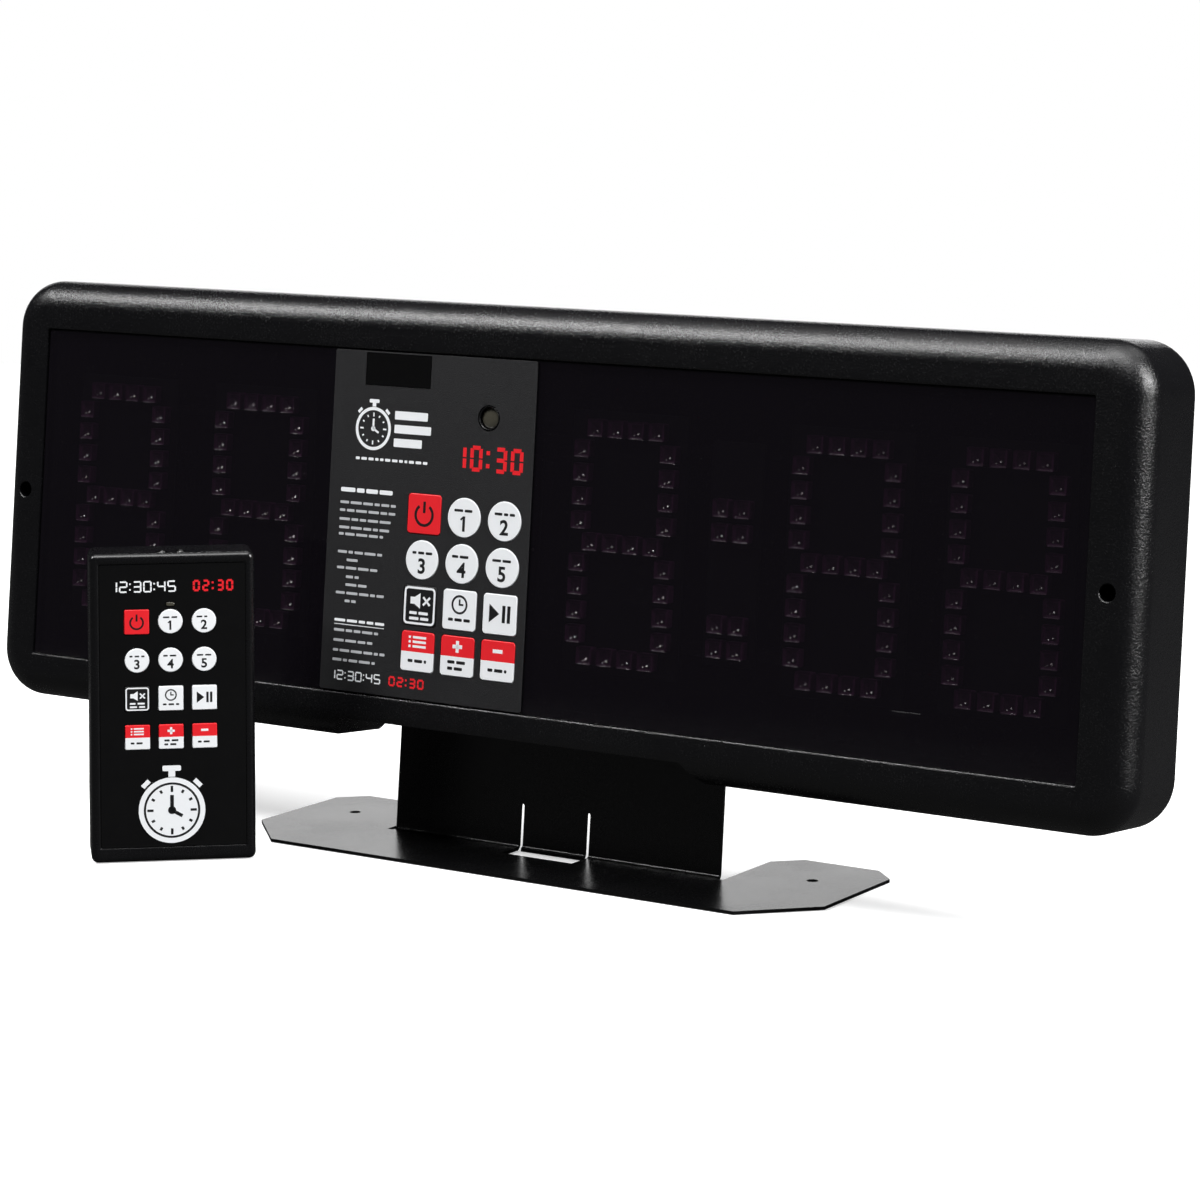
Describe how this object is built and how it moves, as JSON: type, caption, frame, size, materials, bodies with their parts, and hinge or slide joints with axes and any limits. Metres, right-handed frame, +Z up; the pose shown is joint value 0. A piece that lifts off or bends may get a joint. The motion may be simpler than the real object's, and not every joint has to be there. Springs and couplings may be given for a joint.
{
  "type": "gym round timer",
  "caption": "Long wall or shelf display timer with large LED digits, a keypad strip, a folded sheet-metal stand and a hand-held remote.",
  "frame": {"origin": "underside of the stand's base plate, on its centreline, in the middle of the strip in front of the fold; the stand rests on Z = 0", "axes": "+X to the right along the display, +Z up, the display faces -Y and leans back 5.26 degrees"},
  "size_m": [0.5788, 0.1729, 0.242],
  "materials": {
    "black_abs": "fine-grained moulded black plastic",
    "smoked_acrylic": "dark tinted glossy sheet",
    "printed_film": "satin dark grey printed film",
    "dark_filter": "glossy infrared filter",
    "clear_lens": "clear moulded lens",
    "circuit_board": "dark solder mask",
    "led_board": "dark board with square LED bodies",
    "buzzer_case": "moulded black plastic",
    "inlet_plastic": "moulded black plastic",
    "blackened_steel": "black oxide",
    "black_powder_coat": "satin black powder coat",
    "battery_jacket": "plain printed foil jacket",
    "key_white": "satin off-white",
    "key_red": "satin red",
    "key_black": "satin black with a white outline"
  },
  "bodies": {
    "timer": {"front_case": "black_abs", "rear_cover": "black_abs", "display_window": "smoked_acrylic", "keypad_overlay": "printed_film", "receiver_window": "dark_filter", "sensor_lens": "clear_lens", "keypad_board": "circuit_board", "main_board": "circuit_board", "digit_1": "led_board", "digit_2": "led_board", "digit_3": "led_board", "digit_4": "led_board", "digit_5": "led_board", "colon": "led_board", "buzzer": "buzzer_case", "power_inlet": "inlet_plastic", "case_screw_left": "blackened_steel", "case_screw_right": "blackened_steel", "stand_bracket": "black_powder_coat", "stand_screw_1": "blackened_steel", "stand_screw_2": "blackened_steel", "stand_screw_3": "blackened_steel", "stand_screw_4": "blackened_steel"},
    "remote": {"remote_front": "black_abs", "remote_back": "black_abs", "remote_face": "printed_film", "remote_board": "circuit_board", "remote_emitter_left": "dark_filter", "remote_emitter_right": "dark_filter", "remote_indicator": "clear_lens", "battery_left": "battery_jacket", "battery_right": "battery_jacket"},
    "battery_cover": {"battery_cover": "black_abs"},
    "key_power": {"key_power": "key_red"},
    "remote_key_power": {"remote_key_power": "key_red"},
    "key_preset_1": {"key_preset_1": "key_white"},
    "remote_key_preset_1": {"remote_key_preset_1": "key_white"},
    "key_preset_2": {"key_preset_2": "key_white"},
    "remote_key_preset_2": {"remote_key_preset_2": "key_white"},
    "key_preset_3": {"key_preset_3": "key_white"},
    "remote_key_preset_3": {"remote_key_preset_3": "key_white"},
    "key_preset_4": {"key_preset_4": "key_white"},
    "remote_key_preset_4": {"remote_key_preset_4": "key_white"},
    "key_preset_5": {"key_preset_5": "key_white"},
    "remote_key_preset_5": {"remote_key_preset_5": "key_white"},
    "key_silent": {"key_silent": "key_black"},
    "remote_key_silent": {"remote_key_silent": "key_black"},
    "key_clock": {"key_clock": "key_white"},
    "remote_key_clock": {"remote_key_clock": "key_white"},
    "key_start_stop": {"key_start_stop": "key_white"},
    "remote_key_start_stop": {"remote_key_start_stop": "key_white"},
    "key_program": {"key_program": "key_red"},
    "remote_key_program": {"remote_key_program": "key_red"},
    "key_plus": {"key_plus": "key_red"},
    "remote_key_plus": {"remote_key_plus": "key_red"},
    "key_minus": {"key_minus": "key_red"},
    "remote_key_minus": {"remote_key_minus": "key_red"}
  },
  "joints": [
    {"name": "remote_lift", "type": "slide", "parent": "timer", "child": "remote", "axis": [0, 0, 1], "range_m": [0, 0.15]},
    {"name": "battery_cover_release", "type": "slide", "parent": "remote", "child": "battery_cover", "axis": [-0.673, 0.7396, 0], "range_m": [0, 0.03]},
    {"name": "press_power", "type": "slide", "parent": "timer", "child": "key_power", "axis": [0, 0.9958, -0.0917], "range_m": [0, 0.0005], "stiffness_N_per_m": 1500},
    {"name": "press_preset_1", "type": "slide", "parent": "timer", "child": "key_preset_1", "axis": [0, 0.9958, -0.0917], "range_m": [0, 0.0005], "stiffness_N_per_m": 1500},
    {"name": "press_preset_2", "type": "slide", "parent": "timer", "child": "key_preset_2", "axis": [0, 0.9958, -0.0917], "range_m": [0, 0.0005], "stiffness_N_per_m": 1500},
    {"name": "press_preset_3", "type": "slide", "parent": "timer", "child": "key_preset_3", "axis": [0, 0.9958, -0.0917], "range_m": [0, 0.0005], "stiffness_N_per_m": 1500},
    {"name": "press_preset_4", "type": "slide", "parent": "timer", "child": "key_preset_4", "axis": [0, 0.9958, -0.0917], "range_m": [0, 0.0005], "stiffness_N_per_m": 1500},
    {"name": "press_preset_5", "type": "slide", "parent": "timer", "child": "key_preset_5", "axis": [0, 0.9958, -0.0917], "range_m": [0, 0.0005], "stiffness_N_per_m": 1500},
    {"name": "press_silent", "type": "slide", "parent": "timer", "child": "key_silent", "axis": [0, 0.9958, -0.0917], "range_m": [0, 0.0005], "stiffness_N_per_m": 1500},
    {"name": "press_clock", "type": "slide", "parent": "timer", "child": "key_clock", "axis": [0, 0.9958, -0.0917], "range_m": [0, 0.0005], "stiffness_N_per_m": 1500},
    {"name": "press_start_stop", "type": "slide", "parent": "timer", "child": "key_start_stop", "axis": [0, 0.9958, -0.0917], "range_m": [0, 0.0005], "stiffness_N_per_m": 1500},
    {"name": "press_program", "type": "slide", "parent": "timer", "child": "key_program", "axis": [0, 0.9958, -0.0917], "range_m": [0, 0.0005], "stiffness_N_per_m": 1500},
    {"name": "press_plus", "type": "slide", "parent": "timer", "child": "key_plus", "axis": [0, 0.9958, -0.0917], "range_m": [0, 0.0005], "stiffness_N_per_m": 1500},
    {"name": "press_minus", "type": "slide", "parent": "timer", "child": "key_minus", "axis": [0, 0.9958, -0.0917], "range_m": [0, 0.0005], "stiffness_N_per_m": 1500},
    {"name": "remote_press_power", "type": "slide", "parent": "remote", "child": "remote_key_power", "axis": [-0.673, 0.7396, 0], "range_m": [0, 0.0005], "stiffness_N_per_m": 1200},
    {"name": "remote_press_preset_1", "type": "slide", "parent": "remote", "child": "remote_key_preset_1", "axis": [-0.673, 0.7396, 0], "range_m": [0, 0.0005], "stiffness_N_per_m": 1200},
    {"name": "remote_press_preset_2", "type": "slide", "parent": "remote", "child": "remote_key_preset_2", "axis": [-0.673, 0.7396, 0], "range_m": [0, 0.0005], "stiffness_N_per_m": 1200},
    {"name": "remote_press_preset_3", "type": "slide", "parent": "remote", "child": "remote_key_preset_3", "axis": [-0.673, 0.7396, 0], "range_m": [0, 0.0005], "stiffness_N_per_m": 1200},
    {"name": "remote_press_preset_4", "type": "slide", "parent": "remote", "child": "remote_key_preset_4", "axis": [-0.673, 0.7396, 0], "range_m": [0, 0.0005], "stiffness_N_per_m": 1200},
    {"name": "remote_press_preset_5", "type": "slide", "parent": "remote", "child": "remote_key_preset_5", "axis": [-0.673, 0.7396, 0], "range_m": [0, 0.0005], "stiffness_N_per_m": 1200},
    {"name": "remote_press_silent", "type": "slide", "parent": "remote", "child": "remote_key_silent", "axis": [-0.673, 0.7396, 0], "range_m": [0, 0.0005], "stiffness_N_per_m": 1200},
    {"name": "remote_press_clock", "type": "slide", "parent": "remote", "child": "remote_key_clock", "axis": [-0.673, 0.7396, 0], "range_m": [0, 0.0005], "stiffness_N_per_m": 1200},
    {"name": "remote_press_start_stop", "type": "slide", "parent": "remote", "child": "remote_key_start_stop", "axis": [-0.673, 0.7396, 0], "range_m": [0, 0.0005], "stiffness_N_per_m": 1200},
    {"name": "remote_press_program", "type": "slide", "parent": "remote", "child": "remote_key_program", "axis": [-0.673, 0.7396, 0], "range_m": [0, 0.0005], "stiffness_N_per_m": 1200},
    {"name": "remote_press_plus", "type": "slide", "parent": "remote", "child": "remote_key_plus", "axis": [-0.673, 0.7396, 0], "range_m": [0, 0.0005], "stiffness_N_per_m": 1200},
    {"name": "remote_press_minus", "type": "slide", "parent": "remote", "child": "remote_key_minus", "axis": [-0.673, 0.7396, 0], "range_m": [0, 0.0005], "stiffness_N_per_m": 1200}
  ]
}
